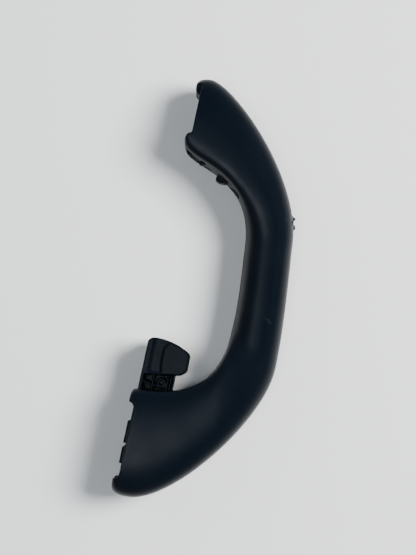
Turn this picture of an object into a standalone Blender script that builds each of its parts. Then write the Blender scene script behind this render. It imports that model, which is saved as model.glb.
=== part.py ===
# Car roof grab handle: one moulded arch on two hollow feet, with a fixing insert and a hinged
# screw cover in each foot. The lower cover stands open and the upper one is shut.
# Handle coordinates: x runs away from the roof, y along the handle, z across it.
# The roof is the plane x = 0, y = 0 is halfway along, and z = 0 is the middle of the width.

import math

import bmesh
import bpy
from mathutils import Matrix, Vector

MM = 0.001

# Arch, seen from the side
HANDLE_LENGTH = 212.1 * MM
HANDLE_REACH = 67.8 * MM
GRIP_DEPTH = 25.3 * MM
SHOULDER_DEPTH = 23.4 * MM
GRIP_LEAN = 4.3 * MM
LOWER_FOOT_LENGTH = 54.05 * MM
UPPER_FOOT_LENGTH = 39.45 * MM

# Places of the arch's bends along its length, each from the nearer tip or inner corner
OUTER_SHOULDER = 72.9 * MM
INNER_SHOULDER = 38.15 * MM
OUTER_BELLY = 77.4 * MM
INNER_BELLY = 38.35 * MM

# Rounded corners where the outlines run into the roof plane, as (away from the roof, along it)
UPPER_TIP_CORNER = (6.1 * MM, 4.0 * MM)
LOWER_TIP_CORNER = (8.5 * MM, 5.2 * MM)
UPPER_INNER_CORNER = (4.6 * MM, 7.4 * MM)
LOWER_INNER_CORNER = (4.2 * MM, 4.0 * MM)

# Headings of the outlines at their bends, in degrees from the way out of the roof
UPPER_TIP_HEADING = 4.0
OUTER_SHOULDER_HEADING = -86.3
UPPER_INNER_HEADING = -29.0
INNER_SHOULDER_HEADING = -85.0
INNER_BELLY_HEADING = -92.0
LOWER_INNER_HEADING = 182.0

# How far each outline is held straight before and after a bend
UPPER_TIP_HOLD = (2.0 * MM, 11.9 * MM)
OUTER_SHOULDER_HOLD = (33.3 * MM, 8.0 * MM)
OUTER_BELLY_HOLD = (25.5 * MM, 26.9 * MM)
LOWER_TIP_HOLD = (21.3 * MM, 2.0 * MM)
UPPER_INNER_HOLD = (4.2 * MM, 10.5 * MM)
INNER_SHOULDER_HOLD = (31.0 * MM, 18.6 * MM)
INNER_BELLY_HOLD = (12.9 * MM, 8.0 * MM)
LOWER_INNER_HOLD = (39.7 * MM, 2.6 * MM)
UPPER_TIP_RISE = 3.0 * MM
LOWER_TIP_FALL = 6.0 * MM
UPPER_INNER_FALL = 3.2 * MM
LOWER_INNER_RISE = 2.6 * MM

# Sections of the arch: widths, wall, and how square they are (2 is an ellipse)
FOOT_WIDTH = 30.0 * MM
GRIP_WIDTH = 24.6 * MM
WALL = 2.5 * MM
FOOT_SQUARENESS = 5.0
GRIP_SQUARENESS = 2.3
FLARE_SPEED = 2.0

# Share of each foot's stretch that is hollow
LOWER_HOLLOW = 0.62
UPPER_HOLLOW = 0.55

# Edge that meets the roof
LIP_THICKNESS = 1.9 * MM
SIDE_CUT_BACK = 2.85 * MM
LOWER_INNER_LIP = 7.75 * MM
LOWER_OUTER_LIP = 9.4 * MM
UPPER_INNER_LIP = 10.05 * MM
UPPER_OUTER_LIP = 4.7 * MM
UPPER_LIP_ROUNDING = 2.7 * MM
LIP_ROUNDING = 1.0 * MM
TONGUE_WIDTH = 20.0 * MM
TONGUE_START = 9.6 * MM
TONGUE_HEIGHT = 3.8 * MM
TONGUE_ROUNDING = 3.2 * MM

# Screw cover, in its own frame: depth runs into the foot and reach runs from the hinge
HINGE_DEPTH = 8.0 * MM
HINGE_SETBACK = 5.6 * MM
SKIN_OFFSET = 5.1 * MM
SKIN_THICKNESS = 1.6 * MM
SKIN_SETBACK = 0.6 * MM
COVER_REACH = 31.6 * MM
COVER_SIDE_WALL = 5.8 * MM
BARREL_RADIUS = 2.4 * MM
PIVOT_RADIUS = 1.5 * MM
PIVOT_LENGTH = 1.5 * MM
LOWER_SHUT_ANGLE = 14.0
UPPER_SHUT_ANGLE = 28.0
OPEN_ANGLE = 90.0

# Plug head of the cover, and the recess in its side faces
HEAD_START = 12.4 * MM
HEAD_DEPTH = 17.0 * MM
HEAD_RISE = 3.0 * MM
HEEL_WIDTH = 1.4 * MM
HEEL_HEIGHT = 3.1 * MM
HEAD_SHOULDER = 5.0 * MM
HEAD_END_ARC = (62, 92)
END_WALL_ARC = (57, 100)
HEAD_CORNER = 2.6 * MM
SKIN_CORNER = 3.0 * MM
HEAD_ROUNDING = 0.7 * MM
SIDE_RECESS = 0.8 * MM
RECESS_START = 2.3 * MM
RECESS_END = 4.5 * MM
RECESS_CORNER = 2.0 * MM
RECESS_FLARE = 3.0 * MM
RECESS_ROUNDING = 0.5 * MM

# Ribbed neck between the cover's head and its hinge
NECK_DEPTH = 11.8 * MM
NECK_WIDTH = 11.6 * MM
NECK_STEP = 1.0 * MM
NECK_OVERLAP = 3.0 * MM
RIB_DEPTHS = (8.6 * MM, 10.0 * MM, 11.35 * MM)
RIB_THICKNESS = 0.9 * MM
RIB_HEIGHT = 1.6 * MM
RIB_START = 2.5 * MM
BOSS_PLACE = (6.0 * MM, 9.0 * MM)
BOSS_RADIUS = 2.0 * MM
BOSS_HEIGHT = 1.5 * MM

# Raised nubs on the upper cover's skin, as (start along the reach, length, height, width)
NUBS = ((4.8 * MM, 3.0 * MM, 2.1 * MM, 5.0 * MM), (16.1 * MM, 6.4 * MM, 3.0 * MM, 7.0 * MM))
NUB_SLOPE = 0.35

# Fixing insert in each foot
INSERT_THICKNESS = 2.4 * MM
INSERT_DEPTH = 3.2 * MM
INSERT_SIDE_CLEARANCE = 1.5 * MM
INSERT_CORNER = 3.0 * MM
LOWER_INSERT_LENGTH = 34.6 * MM
UPPER_INSERT_LENGTH = 15.0 * MM
INSERT_SETBACK = 13.4 * MM
PAD_SETBACK = 3.35 * MM
PAD_HEIGHT = 1.7 * MM
LONG_PAD = 11.2 * MM
SHORT_PAD = 8.3 * MM
PAD_GAP = 1.9 * MM
PAD_WIDTH = 4.2 * MM
SCREW_HOLE = 6.6 * MM
COLLAR_WIDTH = 2.4 * MM
COLLAR_HEIGHT = 1.5 * MM
LEDGE_WIDTH = 1.8 * MM
LEDGE_HEIGHT = 1.8 * MM

# Clearances, and how far a cutter runs out past what it cuts
SEAT_GAP = 0.3 * MM
COVER_GAP = 0.45 * MM
RUN_OUT = 14.0 * MM

# Facets
RING_POINTS = 36
ROUND_SIDES = 24
ARC_STEPS = 5
STRETCH_STEPS = {"upper_tip": 5, "upper_foot": 12, "grip": 9, "lower_foot": 12, "lower_tip": 5}
STRETCHES = list(STRETCH_STEPS)

# Widths and places that several pieces share
COVER_WIDTH = FOOT_WIDTH - 2 * COVER_SIDE_WALL
INSERT_WIDTH = FOOT_WIDTH - 2 * (WALL + INSERT_SIDE_CLEARANCE)
SKIN_END = COVER_REACH - SKIN_SETBACK
LOWER_TIP_Y = -HANDLE_LENGTH / 2
UPPER_TIP_Y = HANDLE_LENGTH / 2
LOWER_LIP_Y = LOWER_TIP_Y + LOWER_FOOT_LENGTH
UPPER_LIP_Y = UPPER_TIP_Y - UPPER_FOOT_LENGTH
LOWER_PIVOT = Vector((HINGE_DEPTH, LOWER_LIP_Y - HINGE_SETBACK, 0))
UPPER_PIVOT = Vector((HINGE_DEPTH, UPPER_LIP_Y + HINGE_SETBACK, 0))


def clear_scene():
    for obj in list(bpy.data.objects):
        bpy.data.objects.remove(obj)


def make_material(name, colour, roughness, metallic=0.0):
    material = bpy.data.materials.new(name)
    material.use_nodes = True
    shader = material.node_tree.nodes["Principled BSDF"]
    shader.inputs["Base Color"].default_value = (*colour, 1)
    shader.inputs["Roughness"].default_value = roughness
    shader.inputs["Metallic"].default_value = metallic
    return material


def object_from(name, mesh_builder, material=None):
    """An object whose mesh is the finished bmesh."""
    mesh = bpy.data.meshes.new(name)
    mesh_builder.to_mesh(mesh)
    mesh_builder.free()
    obj = bpy.data.objects.new(name, mesh)
    bpy.context.scene.collection.objects.link(obj)
    if material:
        mesh.materials.append(material)
    return obj


def as_cutter(obj):
    obj.hide_render = True
    obj.display_type = "WIRE"
    return obj


def boolean(target, tool, operation):
    modifier = target.modifiers.new(f"{operation.lower()} {tool.name}", "BOOLEAN")
    modifier.operation = operation
    modifier.solver = "EXACT"
    modifier.object = tool


def shade(obj, angle=35):
    obj.data.shade_smooth()
    obj.data.set_sharp_from_angle(angle=math.radians(angle))


# Solids that the pieces are made from


def box_solid(name, low, high):
    shape = bmesh.new()
    size = Vector(high) - Vector(low)
    centre = (Vector(high) + Vector(low)) / 2
    bmesh.ops.create_cube(shape, size=1, matrix=Matrix.Translation(centre) @ Matrix.Diagonal((*size, 1)))
    return object_from(name, shape)


def cylinder_solid(name, centre, radius, length, axis):
    shape = bmesh.new()
    turn = Vector((0, 0, 1)).rotation_difference(Vector(axis)).to_matrix().to_4x4()
    bmesh.ops.create_cone(
        shape,
        cap_ends=True,
        segments=ROUND_SIDES,
        radius1=radius,
        radius2=radius,
        depth=length,
        matrix=Matrix.Translation(centre) @ turn,
    )
    return object_from(name, shape)


def plate_solid(name, outline, half_width, material=None, rounding=0.0, rounding_steps=3):
    """An outline in x and y, given width across z, with its side edges rounded over."""
    shape = bmesh.new()
    verts = [shape.verts.new((x, y, -half_width)) for x, y in outline]
    face = shape.faces.new(verts)
    grown = bmesh.ops.extrude_face_region(shape, geom=[face])["geom"]
    moved = [part for part in grown if isinstance(part, bmesh.types.BMVert)]
    bmesh.ops.translate(shape, verts=moved, vec=(0, 0, 2 * half_width))
    bmesh.ops.recalc_face_normals(shape, faces=shape.faces)
    if rounding:
        rims = [edge for edge in shape.edges if abs(edge.verts[0].co.z - edge.verts[1].co.z) < half_width / 10]
        bmesh.ops.bevel(shape, geom=rims, offset=rounding, segments=rounding_steps, profile=0.5, affect="EDGES")
    return object_from(name, shape, material)


def arc_points(centre, radius, start, end, steps=ARC_STEPS):
    """Points on an arc, angles in degrees from the x axis."""
    points = []
    for step in range(steps + 1):
        angle = math.radians(start + (end - start) * step / steps)
        points.append((centre[0] + radius * math.cos(angle), centre[1] + radius * math.sin(angle)))
    return points


def rounded(corners, steps=4):
    """An outline from (x, y, radius) corners, each one turned on its own radius."""
    points = []
    for index, (x, y, radius) in enumerate(corners):
        here = Vector((x, y))
        before = Vector(corners[index - 1][:2]) - here
        after = Vector(corners[(index + 1) % len(corners)][:2]) - here
        if radius <= 0:
            points.append((x, y))
            continue
        half = before.angle(after) / 2
        run = min(radius / math.tan(half), 0.45 * before.length, 0.45 * after.length)
        start = here + before.normalized() * run
        end = here + after.normalized() * run
        for step in range(steps + 1):
            t = step / steps
            point = start * (1 - t) ** 2 + here * 2 * t * (1 - t) + end * t**2
            points.append((point.x, point.y))
    return points


# Arch


class Knot:
    """A point on an outline of the arch, the way the outline heads there, and how far it is held straight."""

    def __init__(self, x, y, heading, hold):
        self.point = Vector((x, y))
        way = Vector((math.cos(math.radians(heading)), math.sin(math.radians(heading))))
        self.arrive = self.point - way * hold[0]
        self.leave = self.point + way * hold[1]


def outer_outline():
    """The side away from the hand, from the upper foot's edge to the lower foot's edge."""
    upper_x, upper_fall = UPPER_TIP_CORNER
    lower_x, lower_rise = LOWER_TIP_CORNER
    shoulder_x = HANDLE_REACH - GRIP_LEAN
    return [
        Knot(0, UPPER_TIP_Y - upper_fall, 90, (0, UPPER_TIP_RISE)),
        Knot(upper_x, UPPER_TIP_Y, UPPER_TIP_HEADING, UPPER_TIP_HOLD),
        Knot(shoulder_x, UPPER_TIP_Y - OUTER_SHOULDER, OUTER_SHOULDER_HEADING, OUTER_SHOULDER_HOLD),
        Knot(HANDLE_REACH, LOWER_TIP_Y + OUTER_BELLY, -90, OUTER_BELLY_HOLD),
        Knot(lower_x, LOWER_TIP_Y, 180, LOWER_TIP_HOLD),
        Knot(0, LOWER_TIP_Y + lower_rise, 90, (LOWER_TIP_FALL, 0)),
    ]


def inner_outline():
    """The side towards the hand, over the same stretches as the outer outline."""
    upper_x, upper_rise = UPPER_INNER_CORNER
    lower_x, lower_fall = LOWER_INNER_CORNER
    shoulder_x = HANDLE_REACH - GRIP_LEAN - SHOULDER_DEPTH
    belly_x = HANDLE_REACH - GRIP_DEPTH
    return [
        Knot(0, UPPER_LIP_Y + upper_rise, -90, (0, UPPER_INNER_FALL)),
        Knot(upper_x, UPPER_LIP_Y, UPPER_INNER_HEADING, UPPER_INNER_HOLD),
        Knot(shoulder_x, UPPER_LIP_Y - INNER_SHOULDER, INNER_SHOULDER_HEADING, INNER_SHOULDER_HOLD),
        Knot(belly_x, LOWER_LIP_Y + INNER_BELLY, INNER_BELLY_HEADING, INNER_BELLY_HOLD),
        Knot(lower_x, LOWER_LIP_Y, LOWER_INNER_HEADING, LOWER_INNER_HOLD),
        Knot(0, LOWER_LIP_Y - lower_fall, -90, (LOWER_INNER_RISE, 0)),
    ]


def along(first, last, t):
    """A point on the curve from one knot to the next, t from 0 to 1."""
    points = (first.point, first.leave, last.arrive, last.point)
    weights = ((1 - t) ** 3, 3 * t * (1 - t) ** 2, 3 * (1 - t) * t**2, t**3)
    total = Vector((0, 0))
    for point, weight in zip(points, weights):
        total += point * weight
    return total


def ease(t):
    return t * t * (3 - 2 * t)


def station(stretch, t):
    """Inner point, outer point, half width and squareness of the section at t along a stretch."""
    index = STRETCHES.index(stretch)
    inner = inner_outline()
    outer = outer_outline()
    flare = {"upper_tip": 1.0, "upper_foot": 1 - t, "grip": 0.0, "lower_foot": t, "lower_tip": 1.0}[stretch]
    flare = ease(min(1, flare * FLARE_SPEED))
    half_width = (GRIP_WIDTH + (FOOT_WIDTH - GRIP_WIDTH) * flare) / 2
    squareness = GRIP_SQUARENESS + (FOOT_SQUARENESS - GRIP_SQUARENESS) * flare
    near = along(inner[index], inner[index + 1], t)
    far = along(outer[index], outer[index + 1], t)
    return near, far, half_width, squareness


def section(near, far, half_width, squareness, inset=0.0):
    """A rounded section standing on the line from the near to the far point."""
    middle = (near + far) / 2
    reach = (far - near) / 2
    reach = reach.normalized() * (reach.length - inset)
    points = []
    for step in range(RING_POINTS):
        angle = 2 * math.pi * step / RING_POINTS
        swing = math.copysign(abs(math.cos(angle)) ** (2 / squareness), math.cos(angle))
        rise = math.copysign(abs(math.sin(angle)) ** (2 / squareness), math.sin(angle))
        flat = middle + reach * swing
        points.append(Vector((flat.x, flat.y, (half_width - inset) * rise)))
    return points


def loft(name, sections, material=None):
    """A closed skin over the sections, capped at both ends."""
    shape = bmesh.new()
    rings = [[shape.verts.new(point) for point in points] for points in sections]
    for ring, following in zip(rings, rings[1:]):
        for index in range(RING_POINTS):
            after = (index + 1) % RING_POINTS
            shape.faces.new((ring[index], ring[after], following[after], following[index]))
    shape.faces.new(rings[0])
    shape.faces.new(list(reversed(rings[-1])))
    bmesh.ops.recalc_face_normals(shape, faces=shape.faces)
    return object_from(name, shape, material)


def make_arch(material):
    sections = []
    for stretch, steps in STRETCH_STEPS.items():
        for step in range(steps):
            sections.append(section(*station(stretch, step / steps)))
    sections.append(section(*station(STRETCHES[-1], 1.0)))
    return loft("handle_body", sections, material)


def make_hollow(name, tip, foot, far_end):
    """The hollow of one foot, from outside the roof plane to far_end along the foot's stretch."""
    from_tip = tip == "upper_tip"
    sections = []
    tip_steps = STRETCH_STEPS[tip]
    for step in range(tip_steps + 1):
        t = step / tip_steps
        sections.append(section(*station(tip, t if from_tip else 1 - t), inset=WALL))
    outside = [point + Vector((-2 * WALL, 0, 0)) for point in sections[0]]
    foot_steps = STRETCH_STEPS[foot]
    for step in range(1, foot_steps + 1):
        t = far_end * step / foot_steps
        sections.append(section(*station(foot, t if from_tip else 1 - t), inset=WALL))
    return as_cutter(loft(name, [outside] + sections))


# Covers


def cover_matrix(pivot, angle, side):
    """Where a cover stands: side is 1 at the lower foot and -1 at the upper one."""
    turn = math.radians(angle)
    reach = Vector((math.cos(turn), side * math.sin(turn), 0))
    depth = Vector((math.sin(turn), -side * math.cos(turn), 0))
    across = depth.cross(reach)
    matrix = Matrix((depth, reach, across)).transposed().to_4x4()
    return Matrix.Translation(pivot) @ matrix


def head_outline():
    """The plug end of the cover: x is depth and y is reach."""
    return rounded(
        [
            (-SKIN_OFFSET, HEAD_START, HEAD_CORNER / 2),
            (HEAD_DEPTH - HEEL_WIDTH, HEAD_START + HEAD_RISE, HEAD_CORNER),
            (HEAD_DEPTH, HEAD_START + HEAD_RISE + HEEL_HEIGHT, HEAD_CORNER),
            (HEAD_DEPTH, COVER_REACH - HEAD_SHOULDER, HEAD_CORNER),
            *[(x, y, 0.0) for x, y in arc_points((0, 0), COVER_REACH, *HEAD_END_ARC)],
            (-SKIN_OFFSET, SKIN_END, SKIN_CORNER),
        ]
    )


def recess_outline():
    """The mid part of the head's side faces, which lies a little lower than the skin and the plug."""
    start = -SKIN_OFFSET + RECESS_START
    below = HEAD_START - NECK_STEP
    above = COVER_REACH + NECK_STEP
    return rounded(
        [
            (start, below, 0.0),
            (RECESS_END + RECESS_FLARE, below, 0.0),
            (RECESS_END, below + 2 * RECESS_CORNER, RECESS_CORNER),
            (RECESS_END, above - 3 * RECESS_CORNER, RECESS_CORNER),
            (RECESS_END + RECESS_CORNER, above, 0.0),
            (start, above, 0.0),
        ]
    )


def nub_outline(start, length, height):
    """A nub seen from the side: steep towards the hinge and sloping down away from it."""
    foot = -SKIN_OFFSET + SKIN_THICKNESS / 2
    top = -SKIN_OFFSET - height
    low = -SKIN_OFFSET - height * NUB_SLOPE
    return rounded(
        [
            (foot, start, 0.0),
            (foot, start + length, 0.0),
            (low, start + length, height * NUB_SLOPE),
            (top, start + length / 2, height),
            (top, start, height / 2),
        ]
    )


def make_cover(name, material, nubs=()):
    """One moulding: show skin, plug head, ribbed neck and hinge barrel."""
    half = COVER_WIDTH / 2
    cover = plate_solid(name, head_outline(), half, material, rounding=HEAD_ROUNDING)
    for side in (-1, 1):
        cut = plate_solid(
            f"{name}_recess_{side}", recess_outline(), SIDE_RECESS, rounding=RECESS_ROUNDING, rounding_steps=1
        )
        cut.location.z = side * half
        boolean(cover, as_cutter(cut), "DIFFERENCE")
        cut.parent = cover

    skin_middle = -SKIN_OFFSET + SKIN_THICKNESS / 2
    skin = box_solid(
        f"{name}_skin",
        (-SKIN_OFFSET, -BARREL_RADIUS / 2, -half),
        (-SKIN_OFFSET + SKIN_THICKNESS, HEAD_START + NECK_OVERLAP, half),
    )
    neck_outline = [
        (skin_middle, -BARREL_RADIUS / 2),
        (0, -BARREL_RADIUS + SEAT_GAP),
        (NECK_DEPTH, NECK_STEP),
        (NECK_DEPTH, HEAD_START + NECK_OVERLAP),
        (skin_middle, HEAD_START + NECK_OVERLAP),
    ]
    neck = plate_solid(f"{name}_neck", neck_outline, NECK_WIDTH / 2)
    across = (0, 0, 1)
    pin_length = COVER_WIDTH + 2 * (PIVOT_LENGTH + COVER_GAP)
    boss = cylinder_solid(f"{name}_boss", (*BOSS_PLACE, 0), BOSS_RADIUS, NECK_WIDTH + 2 * BOSS_HEIGHT, across)
    barrel = cylinder_solid(f"{name}_barrel", (0, 0, 0), BARREL_RADIUS, COVER_WIDTH, across)
    pivot = cylinder_solid(f"{name}_pivot", (0, 0, 0), PIVOT_RADIUS, pin_length, across)
    shapes = [skin, neck, boss, barrel, pivot]
    rib_edge = NECK_WIDTH / 2 + RIB_HEIGHT
    for number, rib_depth in enumerate(RIB_DEPTHS):
        rib = box_solid(
            f"{name}_rib_{number}",
            (rib_depth - RIB_THICKNESS / 2, RIB_START, -rib_edge),
            (rib_depth + RIB_THICKNESS / 2, HEAD_START + NECK_OVERLAP, rib_edge),
        )
        shapes.append(rib)
    for number, (start, length, height, width) in enumerate(nubs):
        shapes.append(plate_solid(f"{name}_nub_{number}", nub_outline(start, length, height), width / 2))
    for shape in shapes:
        boolean(cover, as_cutter(shape), "UNION")
        shape.parent = cover
    shade(cover)
    return cover


def cover_way(name, pivot, angle, side):
    """The way in that a cover shuts, with room round its head, its hinge and its skin when open."""
    stand = cover_matrix(pivot, angle, side)

    def shut(depth, reach):
        place = stand @ Vector((depth, reach, 0))
        return place.x, place.y

    clear = BARREL_RADIUS + COVER_GAP
    end_wall = arc_points((0, 0), COVER_REACH + COVER_GAP, *END_WALL_ARC, 2 * ARC_STEPS)
    outline = [
        (LIP_THICKNESS, pivot.y + side * RUN_OUT),
        (LIP_THICKNESS, pivot.y - side * clear),
        shut(NECK_DEPTH + COVER_GAP, -clear),
        shut(HEAD_DEPTH + COVER_GAP, HEAD_START),
        *[shut(depth, reach) for depth, reach in end_wall],
        shut(-SKIN_OFFSET - RUN_OUT, SKIN_END + COVER_GAP),
    ]
    return as_cutter(plate_solid(name, outline, COVER_WIDTH / 2 + COVER_GAP))


# Fixing inserts


def insert_span(side):
    """Where a foot's insert starts, at the hand side, and where it ends."""
    lip = LOWER_LIP_Y if side > 0 else UPPER_LIP_Y
    length = LOWER_INSERT_LENGTH if side > 0 else UPPER_INSERT_LENGTH
    start = lip - side * INSERT_SETBACK
    return start, start - side * length


def make_insert(name, side, material):
    """The plate that the fixing screw clamps, with a raised collar and, below, two pads a side."""
    start, end = insert_span(side)
    middle = (start + end) / 2
    half_length = abs(end - start) / 2
    half_width = INSERT_WIDTH / 2
    corners = [
        (-half_width, -half_length, INSERT_CORNER),
        (half_width, -half_length, INSERT_CORNER),
        (half_width, half_length, INSERT_CORNER),
        (-half_width, half_length, INSERT_CORNER),
    ]
    plate = plate_solid(name, rounded(corners), INSERT_THICKNESS / 2, material)
    stand = Matrix.Translation((INSERT_DEPTH + INSERT_THICKNESS / 2, middle, 0)) @ Matrix.Rotation(
        math.radians(90), 4, "Y"
    )
    plate.data.transform(stand)

    hole_centre = Vector((INSERT_DEPTH, middle, 0))
    rise = INSERT_THICKNESS + COLLAR_HEIGHT
    collar = cylinder_solid(
        f"{name}_collar",
        hole_centre + Vector(((rise + INSERT_THICKNESS / 2) / 2, 0, 0)),
        SCREW_HOLE / 2 + COLLAR_WIDTH,
        rise - INSERT_THICKNESS / 2,
        (1, 0, 0),
    )
    boolean(plate, as_cutter(collar), "UNION")
    if side > 0:
        first = start - PAD_SETBACK - LONG_PAD
        for across in (-1, 1):
            inner = across * (half_width - PAD_WIDTH)
            outer = across * half_width
            for number, low, high in (
                (0, first, first + LONG_PAD),
                (1, first - PAD_GAP - SHORT_PAD, first - PAD_GAP),
            ):
                pad = box_solid(
                    f"{name}_pad_{number}_{across}",
                    (INSERT_DEPTH - PAD_HEIGHT, low, min(inner, outer)),
                    (INSERT_DEPTH + INSERT_THICKNESS / 2, high, max(inner, outer)),
                )
                boolean(plate, as_cutter(pad), "UNION")
    hole = cylinder_solid(f"{name}_hole", hole_centre, SCREW_HOLE / 2, 4 * rise, (1, 0, 0))
    boolean(plate, as_cutter(hole), "DIFFERENCE")
    shade(plate)
    return plate


# Body


def roof_trim(name, inner_end, outer_end, inner_rounding, side):
    """Cuts the side walls back from the roof between two lips, whose corners stay rounded."""
    inner_y = inner_end + side * inner_rounding
    outer_y = outer_end - side * LIP_ROUNDING
    outline = [
        (-RUN_OUT, inner_y),
        *arc_points((SIDE_CUT_BACK, inner_y), inner_rounding, 180, 180 + side * 90),
        *arc_points((SIDE_CUT_BACK, outer_y), LIP_ROUNDING, 180 - side * 90, 180),
        (-RUN_OUT, outer_y),
    ]
    return as_cutter(plate_solid(name, outline, FOOT_WIDTH))


def make_tongue(name):
    """Thick middle of the upper foot's outer lip, which stays proud where the side walls are cut back."""
    inner_y = UPPER_TIP_Y - TONGUE_START
    rim_y = UPPER_TIP_Y - UPPER_TIP_CORNER[1]
    wall_y = UPPER_TIP_Y - WALL
    outline = rounded(
        [
            (0, rim_y, 0.0),
            (0, inner_y, TONGUE_ROUNDING),
            (TONGUE_HEIGHT, inner_y, TONGUE_ROUNDING / 4),
            (TONGUE_HEIGHT, wall_y, 0.0),
            (SIDE_CUT_BACK, wall_y, 0.0),
        ]
    )
    return as_cutter(plate_solid(name, outline, TONGUE_WIDTH / 2))


def add_ledges(body, label, side):
    """Two ledges that the fixing insert seats on."""
    start, end = insert_span(side)
    ledge_face = INSERT_DEPTH + INSERT_THICKNESS + SEAT_GAP
    for across in (-1, 1):
        near = across * (FOOT_WIDTH / 2 - 3 * WALL / 4)
        far = across * (INSERT_WIDTH / 2 - LEDGE_WIDTH)
        ledge = box_solid(
            f"{label}_ledge_{across}",
            (ledge_face, min(start, end), min(near, far)),
            (ledge_face + LEDGE_HEIGHT, max(start, end), max(near, far)),
        )
        boolean(body, as_cutter(ledge), "UNION")


def make_body(material):
    body = make_arch(material)
    feet = (
        ("lower", LOWER_HOLLOW, LOWER_PIVOT, LOWER_SHUT_ANGLE, 1),
        ("upper", UPPER_HOLLOW, UPPER_PIVOT, UPPER_SHUT_ANGLE, -1),
    )
    for label, hollow_share, pivot, shut_angle, side in feet:
        hollow = make_hollow(f"{label}_hollow", f"{label}_tip", f"{label}_foot", hollow_share)
        boolean(body, hollow, "DIFFERENCE")
        add_ledges(body, label, side)
        boolean(body, cover_way(f"{label}_way", pivot, shut_angle, side), "DIFFERENCE")

    lower_cut = (LOWER_LIP_Y - LOWER_INNER_LIP, LOWER_TIP_Y + LOWER_OUTER_LIP)
    upper_cut = (UPPER_LIP_Y + UPPER_INNER_LIP, UPPER_TIP_Y - UPPER_OUTER_LIP)
    lower_trim = roof_trim("lower_trim", *lower_cut, LIP_ROUNDING, 1)
    upper_trim = roof_trim("upper_trim", *upper_cut, UPPER_LIP_ROUNDING, -1)
    boolean(body, lower_trim, "DIFFERENCE")
    boolean(body, upper_trim, "DIFFERENCE")
    boolean(body, make_tongue("upper_tongue"), "UNION")

    for label, pivot in (("lower", LOWER_PIVOT), ("upper", UPPER_PIVOT)):
        bore = cylinder_solid(
            f"{label}_bore",
            pivot,
            PIVOT_RADIUS + SEAT_GAP,
            COVER_WIDTH + 2 * (PIVOT_LENGTH + COVER_GAP + SEAT_GAP),
            (0, 0, 1),
        )
        boolean(body, as_cutter(bore), "DIFFERENCE")
    shade(body, 40)
    return body


def main():
    clear_scene()
    shell_black = make_material("shell_black", (0.012, 0.017, 0.024), 0.5)
    cover_black = make_material("cover_black", (0.011, 0.015, 0.021), 0.42)
    insert_black = make_material("insert_black", (0.014, 0.017, 0.022), 0.6)

    # The part lies on its side, so its frame stands half a foot's width above the ground
    frame = bpy.data.objects.new("handle_frame", None)
    frame.location = (-HANDLE_REACH / 2, 0, FOOT_WIDTH / 2)
    bpy.context.scene.collection.objects.link(frame)

    make_body(shell_black)
    lower_cover = make_cover("lower_cover", cover_black)
    lower_cover.matrix_world = cover_matrix(LOWER_PIVOT, OPEN_ANGLE, 1)
    upper_cover = make_cover("upper_cover", cover_black, NUBS)
    upper_cover.matrix_world = cover_matrix(UPPER_PIVOT, UPPER_SHUT_ANGLE, -1)
    make_insert("lower_insert", 1, insert_black)
    make_insert("upper_insert", -1, insert_black)

    for obj in bpy.data.objects:
        if obj is not frame and obj.parent is None:
            obj.parent = frame


main()
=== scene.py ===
import math
import bmesh
import bpy
from mathutils import Matrix, Vector, noise


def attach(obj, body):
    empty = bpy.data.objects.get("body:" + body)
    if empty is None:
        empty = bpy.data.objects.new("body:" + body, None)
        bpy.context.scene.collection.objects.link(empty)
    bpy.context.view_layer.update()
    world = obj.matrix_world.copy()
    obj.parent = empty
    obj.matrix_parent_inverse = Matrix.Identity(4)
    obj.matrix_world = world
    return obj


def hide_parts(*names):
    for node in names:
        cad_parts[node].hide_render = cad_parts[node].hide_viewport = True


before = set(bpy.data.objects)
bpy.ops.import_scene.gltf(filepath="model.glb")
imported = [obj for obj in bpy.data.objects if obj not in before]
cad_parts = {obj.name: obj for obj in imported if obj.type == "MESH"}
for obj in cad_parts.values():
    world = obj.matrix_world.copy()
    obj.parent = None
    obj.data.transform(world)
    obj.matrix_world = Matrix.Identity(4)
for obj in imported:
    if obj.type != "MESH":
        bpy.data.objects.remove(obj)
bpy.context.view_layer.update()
mm = 0.001
origin = (-33.9, 0.0, 15.0)  # where the arch's own millimetres start


# a place in the arch's millimetres: x away from the roof, y along the handle and z across it
def spot(x, y, z=0.0):
    ox, oy, oz = origin
    return Vector(((x + ox) * mm, (y + oy) * mm, (z + oz) * mm))


# view of the photo: from above, turned so the handle leans to the right
view = {
    "centre": (-8.5 * mm, 8.75 * mm),
    "middleHeight": 15.0 * mm,
    "tall": 277.5 * mm,  # height of the picture at the middle of the handle's width
    "distance": 0.90,
    "turn": 11.93,
    "lean": 3.5,  # the camera stands a little towards the lower foot and leans up the handle
    "sensor": 36,
    "clipStart": 0.01,
}


def makeCamera():
    lens = bpy.data.cameras.new("photoCamera")
    lens.sensor_fit = "VERTICAL"
    lens.sensor_height = view["sensor"]
    lens.lens = view["sensor"] * view["distance"] / view["tall"]
    lens.clip_start = view["clipStart"]
    camera = bpy.data.objects.new("photoCamera", lens)
    turn = Matrix.Rotation(math.radians(view["turn"]), 3, "Z")
    turn = turn @ Matrix.Rotation(math.radians(view["lean"]), 3, "X")
    aim = Vector((*view["centre"], view["middleHeight"]))
    camera.location = aim + turn @ Vector((0, 0, view["distance"]))
    camera.rotation_euler = turn.to_euler()
    bpy.context.scene.collection.objects.link(camera)
    bpy.context.scene.camera = camera
    print("camera ready")


def addNode(tree, kind, links=None, **inputs):
    node = tree.nodes.new(kind)
    for name, value in inputs.items():
        node.inputs[name.replace("_", " ")].default_value = value
    for name, socket in (links or {}).items():
        tree.links.new(socket, node.inputs[name])
    return node


# a value moved from one range to another
def remap(tree, value, start, end):
    node = addNode(tree, "ShaderNodeMapRange", {"Value": value}, From_Min=start[0], From_Max=start[1])
    node.inputs["To Min"].default_value = end[0]
    node.inputs["To Max"].default_value = end[1]
    return node.outputs["Result"]


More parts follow.
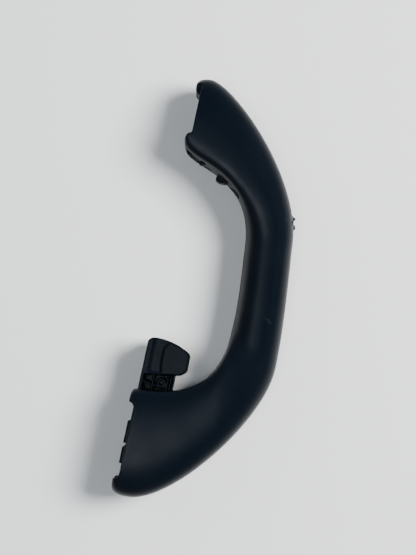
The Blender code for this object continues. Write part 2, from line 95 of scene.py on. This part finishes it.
# two colours, each a socket or a fixed colour
def mixColours(tree, share, first, second):
    mix = tree.nodes.new("ShaderNodeMix")
    mix.data_type = "RGBA"
    tree.links.new(share, mix.inputs[0])
    for socket, colour in ((mix.inputs[6], first), (mix.inputs[7], second)):
        if isinstance(colour, tuple):
            socket.default_value = (*colour, 1)
        else:
            tree.links.new(colour, socket)
    return mix.outputs[2]


sky = {
    "colour": (0.86, 0.93, 1.0),
    "fade": (0.2, 0.9),  # heights between which it darkens, from the walls to the ceiling
    "strength": (0.32, 0.07),
}
lamps = {
    "mainLight": {  # wide window light, from the upper right
        "place": (0.93, 0.42, 1.1),
        "size": 0.8,
        "power": 71.0,
        "colour": (1.0, 0.99, 0.98),
        "glossy": False,
    },
    "fillLight": {
        "place": (-0.9, 0.3, 0.6),
        "size": 0.8,
        "power": 3.0,
        "colour": (0.92, 0.96, 1.0),
        "glossy": False,
    },
    "ceilingLight": {  # a ceiling panel, the only lamp that shows as sheen
        "place": (-0.28, -0.30, 1.6),
        "size": 0.42,
        "power": 8.0,
        "colour": (0.88, 0.95, 1.0),
        "glossy": True,
    },
}


def areaLight(name):
    look = lamps[name]
    lamp = bpy.data.lights.new(name, "AREA")
    lamp.shape = "DISK"
    lamp.size = look["size"]
    lamp.energy = look["power"]
    lamp.color = look["colour"]
    obj = bpy.data.objects.new(name, lamp)
    obj.location = look["place"]
    obj.rotation_euler = (-Vector(look["place"])).to_track_quat("-Z", "Y").to_euler()
    obj.visible_glossy = look["glossy"]
    bpy.context.scene.collection.objects.link(obj)


def makeLight():
    world = bpy.data.worlds.new("studio")
    bpy.context.scene.world = world
    world.use_nodes = True
    tree = world.node_tree
    background = tree.nodes["Background"]
    background.inputs["Color"].default_value = (*sky["colour"], 1)
    split = tree.nodes.new("ShaderNodeSeparateXYZ")
    tree.links.new(tree.nodes.new("ShaderNodeTexCoord").outputs["Generated"], split.inputs[0])
    strength = remap(tree, split.outputs["Z"], sky["fade"], sky["strength"])
    tree.links.new(strength, background.inputs["Strength"])
    for name in lamps:
        areaLight(name)
    print("light ready")


table = {
    "size": 3.0,
    "colour": (0.72, 0.73, 0.735),
    "roughness": 0.6,
}


def makeFloor():
    bpy.ops.object.select_all(action="DESELECT")
    bpy.ops.mesh.primitive_plane_add(size=table["size"], location=(0, 0, 0))
    floor = bpy.context.object
    floor.name = "tableTop"
    paper = bpy.data.materials.new("tablePaper")
    paper.use_nodes = True
    shader = paper.node_tree.nodes["Principled BSDF"]
    shader.inputs["Base Color"].default_value = (*table["colour"], 1)
    shader.inputs["Roughness"].default_value = table["roughness"]
    floor.data.materials.append(paper)
    print("floor ready")


# moulded plastics: soft blotches from one colour to the other, uneven gloss and a fine grain
plastics = {
    "shellPlastic": {
        "colours": ((0.0015, 0.0030, 0.0056), (0.0022, 0.0038, 0.0066)),
        "roughness": (0.33, 0.41),
        "specular": 0.14,
        "grainSize": 0.34 * mm,
        "grainDepth": 0.015 * mm,
        "blotchSize": 22.0 * mm,
    },
    "coverPlastic": {
        "colours": ((0.0014, 0.0024, 0.0042), (0.0024, 0.0036, 0.0058)),
        "roughness": (0.33, 0.43),
        "specular": 0.12,
        "grainSize": 0.30 * mm,
        "grainDepth": 0.010 * mm,
        "blotchSize": 8.0 * mm,
    },
    "insertPlastic": {
        "colours": ((0.0022, 0.0030, 0.0042), (0.0040, 0.0050, 0.0066)),
        "roughness": (0.50, 0.66),
        "specular": 0.14,
        "grainSize": 0.50 * mm,
        "grainDepth": 0.015 * mm,
        "blotchSize": 4.0 * mm,
    },
}
moulding = {  # what the plastics share
    "blotchDetail": 4.0,
    "blotchRange": (0.42, 0.78),
    "glossPerBlotch": 2.3,
    "glossDetail": 6.0,
    "glossRange": (0.3, 0.7),
    "grainDetail": 3.0,
    "grainRoughness": 0.6,
}
scratch = {
    "colour": (0.020, 0.024, 0.028),
    "height": 12.0,  # across the handle, where the strokes are centred
    "depth": 16.0,
    "breakSize": 0.5 * mm,
    "breakDetail": 2.0,
    "breakRange": (0.3, 0.6),
    "contrast": 2,
    "strokes": (  # place on the arch, heading, length, width and strength
        ((58.4, -6.2), -12, 3.8, 0.40, 1.0),
        ((59.9, -7.4), -16, 2.6, 0.36, 0.9),
        ((57.6, 43.8), -70, 4.4, 0.60, 0.5),
        ((54.4, 51.6), -62, 3.0, 0.50, 0.4),
    ),
}


# a stroke fades out from its middle and is broken up by a fine noise
def addStroke(tree, where, colour, stroke):
    (x, y), heading, length, width, strength = stroke
    mapping = tree.nodes.new("ShaderNodeMapping")
    mapping.vector_type = "TEXTURE"
    mapping.inputs["Location"].default_value = spot(x, y, scratch["height"])
    mapping.inputs["Rotation"].default_value = (0, 0, math.radians(heading))
    mapping.inputs["Scale"].default_value = (length / 2 * mm, width / 2 * mm, scratch["depth"] / 2 * mm)
    tree.links.new(where, mapping.inputs["Vector"])
    ball = addNode(tree, "ShaderNodeTexGradient", {"Vector": mapping.outputs["Vector"]})
    ball.gradient_type = "SPHERICAL"
    broken = addNode(
        tree, "ShaderNodeTexNoise", {"Vector": where},
        Scale=1 / scratch["breakSize"], Detail=scratch["breakDetail"],
    )
    most = strength * scratch["contrast"]
    ragged = remap(tree, broken.outputs["Fac"], scratch["breakRange"], (0, most))
    share = tree.nodes.new("ShaderNodeMath")
    share.operation = "MULTIPLY"
    share.use_clamp = True
    tree.links.new(ball.outputs["Fac"], share.inputs[0])
    tree.links.new(ragged, share.inputs[1])
    return mixColours(tree, share.outputs[0], colour, scratch["colour"])


def makePlastic(name, strokes=()):
    look = plastics[name]
    material = bpy.data.materials.new(name)
    material.use_nodes = True
    tree = material.node_tree
    shader = tree.nodes["Principled BSDF"]
    shader.inputs["Specular IOR Level"].default_value = look["specular"]
    where = tree.nodes.new("ShaderNodeTexCoord").outputs["Object"]

    blotch = addNode(
        tree, "ShaderNodeTexNoise", {"Vector": where},
        Scale=1 / look["blotchSize"], Detail=moulding["blotchDetail"],
    )
    share = remap(tree, blotch.outputs["Fac"], moulding["blotchRange"], (0, 1))
    colour = mixColours(tree, share, *look["colours"])
    for stroke in strokes:
        colour = addStroke(tree, where, colour, stroke)
    tree.links.new(colour, shader.inputs["Base Color"])

    gloss = addNode(
        tree, "ShaderNodeTexNoise", {"Vector": where},
        Scale=moulding["glossPerBlotch"] / look["blotchSize"], Detail=moulding["glossDetail"],
    )
    rough = remap(tree, gloss.outputs["Fac"], moulding["glossRange"], look["roughness"])
    tree.links.new(rough, shader.inputs["Roughness"])

    grain = addNode(
        tree, "ShaderNodeTexNoise", {"Vector": where},
        Scale=1 / look["grainSize"], Detail=moulding["grainDetail"], Roughness=moulding["grainRoughness"],
    )
    bump = addNode(
        tree, "ShaderNodeBump", {"Height": grain.outputs["Fac"]}, Strength=1.0, Distance=look["grainDepth"]
    )
    tree.links.new(bump.outputs["Normal"], shader.inputs["Normal"])
    return material


# a disc is laid on the first ring, extruded from ring to ring, and closed at the last
def loftRings(name, rings):
    bpy.ops.object.select_all(action="DESELECT")
    bpy.ops.mesh.primitive_circle_add(vertices=len(rings[0]), radius=10 * mm, fill_type="NGON")
    piece = bpy.context.object
    piece.name = name
    bpy.ops.object.mode_set(mode="EDIT")
    mesh = bmesh.from_edit_mesh(piece.data)
    around = mesh.verts.layers.int.new("around")
    for index, vert in enumerate(mesh.verts):
        vert[around] = index
        vert.co = rings[0][index]
    for ring in rings[1:]:
        bpy.ops.mesh.extrude_region()
        mesh = bmesh.from_edit_mesh(piece.data)
        around = mesh.verts.layers.int["around"]
        for vert in mesh.verts:
            if vert.select:
                vert.co = ring[vert[around]]
        bmesh.update_edit_mesh(piece.data)
    bpy.ops.mesh.select_all(action="SELECT")
    bpy.ops.mesh.normals_make_consistent(inside=False)
    bpy.ops.object.mode_set(mode="OBJECT")
    return piece


# an outline in x and y, extruded across the handle
def plate(name, outline, high, low=None):
    low = -high if low is None else low
    return loftRings(name, [[spot(x, y, z) for x, y in outline] for z in (low, high)])


def arc(centre, radius, start, end, steps=12):
    points = []
    for step in range(steps + 1):
        angle = math.radians(start + (end - start) * step / steps)
        points.append((centre[0] + radius * math.cos(angle), centre[1] + radius * math.sin(angle)))
    return points


def circle(centre, radius, points):
    return arc(centre, radius, 0, 360 - 360 / points, points - 1)


# corners are (x, y, radius)
def roundCorners(corners, steps=5):
    outline = []
    for index, (x, y, radius) in enumerate(corners):
        here = Vector((x, y))
        if radius == 0:
            outline.append((x, y))
            continue
        before = (Vector(corners[index - 1][:2]) - here).normalized()
        after = (Vector(corners[(index + 1) % len(corners)][:2]) - here).normalized()
        half = before.angle(after) / 2
        centre = here + (before + after).normalized() * radius / math.sin(half)
        start = here + before * radius / math.tan(half) - centre
        end = here + after * radius / math.tan(half) - centre
        for step in range(steps + 1):
            outline.append(tuple(centre + start.lerp(end, step / steps).normalized() * radius))
    return outline


# the outline moved in by an amount
def shrink(outline, amount):
    count = len(outline)
    area = 0
    for index, (x, y) in enumerate(outline):
        nextX, nextY = outline[(index + 1) % count]
        area += x * nextY - nextX * y
    side = 1 if area > 0 else -1
    moved = []
    for index, (x, y) in enumerate(outline):
        run = Vector(outline[(index + 1) % count]) - Vector(outline[index - 1])
        run.normalize()
        moved.append((x - side * amount * run.y, y + side * amount * run.x))
    return moved


# selects the pieces and makes the last one active
def pick(*pieces):
    bpy.ops.object.select_all(action="DESELECT")
    for piece in pieces:
        piece.select_set(True)
    bpy.context.view_layer.objects.active = pieces[-1]


def applyModifier(piece, kind, **settings):
    pick(piece)
    modifier = piece.modifiers.new(kind.lower(), kind)
    for name, value in settings.items():
        setattr(modifier, name, value)
    bpy.ops.object.modifier_apply(modifier=modifier.name)


def combine(piece, tool, operation):
    applyModifier(piece, "BOOLEAN", operation=operation, solver="EXACT", object=tool)
    bpy.data.objects.remove(tool)


# a closed lump that the even skin will take in
def joinTo(piece, lump):
    pick(lump, piece)
    bpy.ops.object.join()


# one even skin with softly rounded edges
def fuse(piece, finish):
    applyModifier(piece, "REMESH", mode="VOXEL", voxel_size=finish["voxel"])
    applyModifier(piece, "SMOOTH", factor=0.5, iterations=finish["smoothing"])


def countTriangles(piece):
    return sum(len(face.vertices) - 2 for face in piece.data.polygons)


def thin(piece, finish):
    faces = countTriangles(piece)
    if faces > finish["triangles"]:
        applyModifier(piece, "DECIMATE", ratio=finish["triangles"] / faces)
    pick(piece)
    bpy.ops.object.shade_smooth()
    print(piece.name, "triangles", countTriangles(piece))


# a knot is (x, y, heading in degrees, straight before, straight after)
arch = {
    "outer": (
        (0, 102.05, 90, 0, 3.0),
        (6.1, 106.05, 4, 2.0, 11.9),
        (63.5, 33.15, -86.3, 33.3, 8.0),
        (67.8, -28.65, -90, 25.5, 26.9),
        (8.5, -106.05, 180, 21.3, 2.0),
        (0, -100.85, 90, 6.0, 0),
    ),
    "inner": (
        (0, 74.0, -90, 0, 3.2),
        (4.6, 66.6, -29, 4.2, 10.5),
        (40.1, 28.45, -85, 31.0, 18.6),
        (42.5, -13.65, -92, 12.9, 8.0),
        (4.2, -52.0, 182, 39.7, 2.6),
        (0, -56.0, -90, 2.6, 0),
    ),
    "footWidth": 30.0,
    "gripWidth": 24.6,
    "footSquareness": 7.5,  # of the side that faces the hand
    "backSquareness": 3.8,
    "footRoll": 2.3,  # how early the flat of a foot rolls over to its edges
    "gripSquareness": 2.3,
    "ridgeLean": 0.33,  # the upper foot is thickest towards the hand
    "flareSpeed": 2.0,
    "wall": 2.5,
    "points": 96,
    "steps": (16, 44, 30, 44, 16),  # upper tip, upper foot, grip, lower foot, lower tip
    "hollowShare": {"upper": 0.55, "lower": 0.62},
    "hollowSteps": 24,
    "finish": {"voxel": 0.5 * mm, "smoothing": 4, "triangles": 190000},
}

foot = {
    "lipThickness": 1.9,
    "cutBack": 2.85,
    "upperCut": (76.65, 101.35, 2.7),  # start, end and the rounding at the start
    "lowerCut": (-60.9, -96.65, 1.0),
    "outerLipRounding": 1.0,
    "tongueHalf": 9.6,
    "tongue": (
        (0, 102.05), (0, 99.65), (0.45, 97.9), (1.6, 96.75), (3.2, 96.45), (3.8, 97.0), (3.8, 103.55),
    ),
    "insertFace": 5.9,
    "ledgeHeight": 1.8,
    "ledgeFrom": 9.2,
    "ledgeTo": 12.7,
    "upperLedge": (80.0, 95.0),
    "lowerLedge": (-96.4, -65.4),
    "hollowPast": 5.0,  # how far the hollow and the cuts reach out of the foot
    "cutPast": 14.0,
    "wallArc": (57, 100, 24),  # angles and steps of the mouth's end wall around the hinge
}

# a cover in its own millimetres: depth into the foot, reach from the hinge and the width across
cover = {
    "hingeDepth": 8.0,
    "upperPivot": 72.2,
    "lowerPivot": -57.6,
    "upperAngle": 28.0,
    "lowerAngle": 14.0,
    "openAngle": 90.0,
    "halfWidth": 9.2,
    "reach": 31.6,
    "gap": 0.45,
    "barrel": 2.4,
    "barrelPoints": 36,
    "pegRadius": 1.5,
    "pegHalf": 11.0,
    "boreRadius": 1.8,
    "boreHalf": 11.45,
    "borePoints": 24,
    "finish": {"voxel": 0.22 * mm, "smoothing": 3, "triangles": 150000},
}
skin = {  # the show face of a cover
    "outside": -5.1,
    "thickness": 1.6,
    "start": -1.2,
    "end": 31.0,
    "corner": 3.0,
    "edgeRounding": 0.5,
}
head = {
    "depth": 17.0,
    "start": 12.4,
    "rise": 3.0,
    "bevel": (3.0, 2.4),
    "shoulder": 5.0,
    "corner": 2.6,
    "endArc": (62, 92, 8),
    "edgeRounding": 1.0,
    "edgeSteps": 4,
}
neck = {
    "depth": 11.8,
    "intoHead": 3.0,
    "fromSkin": 0.8,
    "webHalf": 0.9,
    "webHeel": 2.2,
    "webToe": 1.0,
    "flange": (7.8, 8.7, 6.4),  # reach from and to, and half of the width
    "flangeHeel": 1.2,
    "flangeKnee": 2.0,
    "ribDepths": (1.4, 8.6, 10.0, 11.35),
    "ribThickness": 0.8,
    "ribStart": 2.5,
    "ribHalf": 7.4,
}


def onCurve(first, last, t):
    x1, y1, heading1, _, hold1 = first
    x2, y2, heading2, hold2, _ = last
    a = Vector((x1, y1))
    b = a + hold1 * Vector((math.cos(math.radians(heading1)), math.sin(math.radians(heading1))))
    d = Vector((x2, y2))
    c = d - hold2 * Vector((math.cos(math.radians(heading2)), math.sin(math.radians(heading2))))
    return a * (1 - t) ** 3 + b * 3 * t * (1 - t) ** 2 + c * 3 * (1 - t) * t**2 + d * t**3


# ring of the arch at t along one of its five stretches, or of the hollow in a foot
def archRing(stretch, t, hollow=False):
    near = onCurve(arch["inner"][stretch], arch["inner"][stretch + 1], t)
    far = onCurve(arch["outer"][stretch], arch["outer"][stretch + 1], t)
    flare = (1.0, 1 - t, 0.0, t, 1.0)[stretch]  # 0 on the grip and 1 on the feet
    flare = min(1.0, flare * arch["flareSpeed"])
    flare = flare * flare * (3 - 2 * flare)

    def between(onGrip, onFoot):
        return onGrip + (onFoot - onGrip) * flare

    grip = arch["gripSquareness"]
    front = 2 / between(grip, arch["footSquareness"])
    back = 2 / between(grip, arch["backSquareness"])
    roll = 2 / between(grip, arch["footRoll"])
    half = between(arch["gripWidth"], arch["footWidth"]) / 2
    inset = arch["wall"] if hollow else 0.0
    lean = arch["ridgeLean"] * flare if stretch < 2 else 0.0
    middle = (near + far) / 2
    reach = (far - near) / 2
    reach = reach.normalized() * (reach.length - inset)
    ring = []
    for index in range(arch["points"]):
        angle = 2 * math.pi * index / arch["points"]
        swing = math.copysign(abs(math.cos(angle)) ** roll, math.cos(angle))
        rise = math.copysign(abs(math.sin(angle)) ** (back if swing > 0 else front), math.sin(angle))
        flat = middle + reach * (swing - lean * (1 - swing * swing))
        ring.append(spot(flat.x, flat.y, (half - inset) * rise))
    return ring


# the way that a cover swings, as seen along the hinge
def coverWay(label):
    side = 1 if label == "lower" else -1
    pivot = (cover["hingeDepth"], cover[label + "Pivot"])
    turn = math.radians(cover[label + "Angle"])
    gap, lip, past = cover["gap"], foot["lipThickness"], foot["cutPast"]

    def shut(depth, reach):
        x = pivot[0] + reach * math.cos(turn) + depth * math.sin(turn)
        y = pivot[1] + side * (reach * math.sin(turn) - depth * math.cos(turn))
        return x, y

    clear = cover["barrel"] + gap
    outline = [
        (lip, pivot[1] + side * past),
        (lip, pivot[1] - side * clear),
        shut(neck["depth"] + gap, -clear),
        shut(head["depth"] + gap, head["start"]),
        *[shut(depth, reach) for depth, reach in arc((0, 0), cover["reach"] + gap, *foot["wallArc"])],
        shut(skin["outside"] - past, skin["end"] + gap),
    ]
    return plate(label + "Way", outline, cover["halfWidth"] + gap)


def footHollow(label):
    upper = label == "upper"
    tip, run = (0, 1) if upper else (4, 3)
    steps = arch["hollowSteps"]
    rings = []
    for step in range(steps + 1):
        t = step / steps
        rings.append(archRing(tip, t if upper else 1 - t, True))
    outside = [point - Vector((foot["hollowPast"] * mm, 0, 0)) for point in rings[0]]
    for step in range(1, steps + 1):
        t = arch["hollowShare"][label] * step / steps
        rings.append(archRing(run, t if upper else 1 - t, True))
    return loftRings(label + "Hollow", [outside] + rings)


def roofCut(label):
    side = 1 if label == "lower" else -1
    start, end, rounding = foot[label + "Cut"]
    back, tipRounding, past = foot["cutBack"], foot["outerLipRounding"], foot["cutPast"]
    startY = start + side * rounding
    endY = end - side * tipRounding
    outline = [
        (-past, startY),
        *arc((back, startY), rounding, 180, 180 + side * 90),
        *arc((back, endY), tipRounding, 180 - side * 90, 180),
        (-past, endY),
    ]
    return plate(label + "Cut", outline, arch["footWidth"])


# the ledge along a side wall that carries the insert
def ledge(label, side):
    low, high = foot[label + "Ledge"]
    face = foot["insertFace"]
    back = face + foot["ledgeHeight"]
    bottom, top = sorted((side * foot["ledgeFrom"], side * foot["ledgeTo"]))
    return plate(label + "Ledge", ((face, low), (back, low), (back, high), (face, high)), top, bottom)


def bore(label):
    centre = (cover["hingeDepth"], cover[label + "Pivot"])
    outline = circle(centre, cover["boreRadius"], cover["borePoints"])
    return plate(label + "Bore", outline, cover["boreHalf"])


def makeShell():
    rings = []
    for stretch, steps in enumerate(arch["steps"]):
        for step in range(steps):
            rings.append(archRing(stretch, step / steps))
    rings.append(archRing(4, 1.0))
    shell = loftRings("shell", rings)
    print("arch lofted")
    for label in ("lower", "upper"):
        combine(shell, footHollow(label), "DIFFERENCE")
        for side in (-1, 1):
            combine(shell, ledge(label, side), "UNION")
        combine(shell, coverWay(label), "DIFFERENCE")
        combine(shell, roofCut(label), "DIFFERENCE")
    for label in ("lower", "upper"):
        combine(shell, bore(label), "DIFFERENCE")
    joinTo(shell, plate("tongue", foot["tongue"], foot["tongueHalf"]))
    print("feet hollowed")
    fuse(shell, arch["finish"])
    bruise(shell)
    thin(shell, arch["finish"])
    return shell


# damage to the shell: burrs beyond the surface and bruises below it
wear = {
    "spots": (  # place on the arch, radius and height
        ((59.6, 45.6, 0.0), 2.3, 1.55),
        ((61.2, 41.8, 0.0), 2.2, 1.35),
        ((60.4, 43.5, 4.5), 1.5, 1.00),
        ((56.4, 54.6, 0.0), 1.9, -1.25),
        ((55.4, 52.2, 5.5), 1.2, -0.40),
        ((58.4, 49.6, 4.5), 1.0, 0.30),
        ((9.5, 106.2, 2.0), 1.1, -0.35),
        ((41.2, 73.0, 16.0), 0.9, -0.22),
        ((25.4, 90.4, 16.0), 0.9, -0.22),
    ),
    "share": 0.75,  # of the height that is left, and how much the noise changes it
    "ragged": 0.9,
    "raggedSize": 0.8 * mm,
}


def bruise(shell):
    for place, radius, height in wear["spots"]:
        _, centre, normal, _ = shell.closest_point_on_mesh(spot(*place))
        for vert in shell.data.vertices:
            share = (vert.co - centre).length / (radius * mm)
            if share < 1:
                left = wear["share"] + wear["ragged"] * noise.noise(vert.co / wear["raggedSize"])
                vert.co += normal * height * mm * left * (1 - share * share) ** 2


# where a cover's own depth, reach and width lie on the handle
def coverStand(label, angle):
    side = 1 if label == "lower" else -1
    turn = math.radians(angle)

    def place(depth, reach, z):
        x = cover["hingeDepth"] + reach * math.cos(turn) + depth * math.sin(turn)
        y = cover[label + "Pivot"] + side * (reach * math.sin(turn) - depth * math.cos(turn))
        return spot(x, y, z)

    return place


# an outline extruded across the cover, its edges rounded when a rounding is given
def coverPlate(place, outline, high, rounding=0.0, low=None):
    low = -high if low is None else low
    steps = head["edgeSteps"] if rounding else 0
    lowRings = []
    highRings = []
    for step in range(steps + 1):
        angle = math.radians(90 * step / head["edgeSteps"])
        inner = shrink(outline, rounding * (1 - math.sin(angle)))
        lift = rounding * (1 - math.cos(angle))
        lowRings.append([place(x, y, low + lift) for x, y in inner])
        highRings.append([place(x, y, high - lift) for x, y in inner])
    return loftRings("coverPlate", lowRings + highRings[::-1])


def headOutline():
    start, deep, corner = head["start"], head["depth"], head["corner"]
    bevelDepth, bevelReach = head["bevel"]
    return roundCorners([
        (skin["outside"], start, corner / 2),
        (deep - bevelDepth, start + head["rise"], corner),
        (deep, start + head["rise"] + bevelReach, corner),
        (deep, cover["reach"] - head["shoulder"], corner),
        *[(x, y, 0) for x, y in arc((0, 0), cover["reach"], *head["endArc"])],
        (skin["outside"], skin["end"], skin["corner"]),
    ])


recess = {  # the sunk field on each side of a head
    "depth": 0.85,
    "slope": 1.5,
    "start": -2.6,
    "end": 4.4,
    "corner": 2.0,
    "aboveStart": 0.9,
    "pastReach": 1.0,
    "lowFlare": (1.5, 5.0),
    "highFlare": (2.5, 6.0),
    "past": 0.2,
    "spread": 0.3,
}


def recessOutline():
    start, end, corner = recess["start"], recess["end"], recess["corner"]
    below = head["start"] + recess["aboveStart"]
    above = cover["reach"] + recess["pastReach"]
    lowOut, lowRun = recess["lowFlare"]
    highOut, highRun = recess["highFlare"]
    return roundCorners([
        (start, below, corner),
        (end + lowOut, below, corner),
        (end, below + lowRun, corner),
        (end, above - highRun, corner),
        (end + highOut, above, 0),
        (start, above, 0),
    ])


nub = {
    "sizes": ((4.8, 3.0, 2.1, 2.5), (16.1, 6.4, 3.0, 3.5)),  # reach, length, height, half of the width
    "slope": 0.35,
}


def nubOutline(start, length, height):
    base = skin["outside"] + skin["thickness"] / 2
    top = skin["outside"] - height
    low = skin["outside"] - height * nub["slope"]
    return roundCorners([
        (base, start, 0),
        (base, start + length, 0),
        (low, start + length, height * nub["slope"]),
        (top, start + length / 2, height),
        (top, start, height / 2),
    ])


def makeHead(place, half):
    piece = coverPlate(place, headOutline(), half, head["edgeRounding"])
    levels = (  # place across the cover, and how far the field is moved in there
        (half + recess["past"], -recess["spread"]),
        (half - recess["depth"], recess["slope"]),
    )
    for side in (-1, 1):
        rings = []
        for z, inset in levels:
            rings.append([place(x, y, side * z) for x, y in shrink(recessOutline(), inset)])
        combine(piece, loftRings("recess", rings), "DIFFERENCE")
    return piece


boss = {
    "depth": 5.6,
    "reach": 10.3,
    "radius": 2.1,
    "bore": 1.1,
    "half": 7.2,
    "boreLength": 2.4,
    "borePast": 1.0,
    "floor": 0.2,
}


def makeBoss(place):
    depth, radius, hole = boss["depth"], boss["radius"], boss["bore"]
    centre = (depth, boss["reach"])
    low, high, _ = neck["flange"]
    floor = high + boss["floor"]
    outline = [(depth + radius, low), *arc(centre, radius, 0, 180), (depth - radius, low)]
    lump = coverPlate(place, outline, boss["half"])
    hollow = [(depth + hole, floor), *arc(centre, hole, 0, 180), (depth - hole, floor)]
    for side in (-1, 1):
        ends = (side * (boss["half"] - boss["boreLength"]), side * (boss["half"] + boss["borePast"]))
        combine(lump, coverPlate(place, hollow, max(ends), low=min(ends)), "DIFFERENCE")
    return lump


# skin, hinge, web, flange, ribs and boss, between the hinge and the head
def joinNeck(piece, place, half):
    outside, top, deep = skin["outside"], skin["start"], neck["depth"]
    inside = outside + skin["thickness"]
    base = outside + neck["fromSkin"]
    into = head["start"] + neck["intoHead"]
    face = [(outside, top), (inside, top), (inside, into), (outside, into)]
    joinTo(piece, coverPlate(place, face, half, skin["edgeRounding"]))
    for radius, wide in ((cover["barrel"], half), (cover["pegRadius"], cover["pegHalf"])):
        joinTo(piece, coverPlate(place, circle((0, 0), radius, cover["barrelPoints"]), wide))
    web = [(base, top), (0, -neck["webHeel"]), (deep, neck["webToe"]), (deep, into), (base, into)]
    joinTo(piece, coverPlate(place, web, neck["webHalf"]))
    low, high, wide = neck["flange"]
    heel, knee = neck["flangeHeel"], neck["flangeKnee"]
    flange = [
        (base, low + heel), (knee, low), (deep, low),
        (deep, high), (knee, high), (base, high + heel),
    ]
    joinTo(piece, coverPlate(place, flange, wide))
    start, thick = neck["ribStart"], neck["ribThickness"] / 2
    for depth in neck["ribDepths"]:
        near, far = depth - thick, depth + thick
        rib = [(near, start), (far, start), (far, into), (near, into)]
        joinTo(piece, coverPlate(place, rib, neck["ribHalf"]))
    joinTo(piece, makeBoss(place))


def makeCover(label, angle, nubs=()):
    place = coverStand(label, angle)
    half = cover["halfWidth"]
    piece = makeHead(place, half)
    piece.name = label + "CoverMoulding"
    joinNeck(piece, place, half)
    for start, length, height, wide in nubs:
        joinTo(piece, coverPlate(place, nubOutline(start, length, height), wide))
    fuse(piece, cover["finish"])
    thin(piece, cover["finish"])
    return piece


insert = {
    "merge": 0.01 * mm,
    "finish": {"voxel": 0.3 * mm, "smoothing": 1, "triangles": 60000},
}


# an insert taken from its node, with its edges softened
def makeInsert(label):
    piece = bpy.data.objects.new(label + "InsertPlate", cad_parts[label + "_insert"].data.copy())
    bpy.context.scene.collection.objects.link(piece)
    pick(piece)
    bpy.ops.object.mode_set(mode="EDIT")
    bpy.ops.mesh.select_all(action="SELECT")
    bpy.ops.mesh.remove_doubles(threshold=insert["merge"])
    bpy.ops.object.mode_set(mode="OBJECT")
    fuse(piece, insert["finish"])
    thin(piece, insert["finish"])
    return piece


def finishPiece(piece, node, body, material):
    piece.data.materials.clear()
    piece.data.materials.append(material)
    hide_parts(node)
    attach(piece, body)


makeCamera()
makeLight()
makeFloor()
shellPlastic = makePlastic("shellPlastic", scratch["strokes"])
coverPlastic = makePlastic("coverPlastic")
insertPlastic = makePlastic("insertPlastic")
finishPiece(makeShell(), "handle_body", "body", shellPlastic)
lowerCover = makeCover("lower", cover["openAngle"])
finishPiece(lowerCover, "lower_cover", "lower_cover", coverPlastic)
upperCover = makeCover("upper", cover["upperAngle"], nub["sizes"])
finishPiece(upperCover, "upper_cover", "upper_cover", coverPlastic)
for label in ("lower", "upper"):
    finishPiece(makeInsert(label), label + "_insert", "body", insertPlastic)
print("pieces ready")
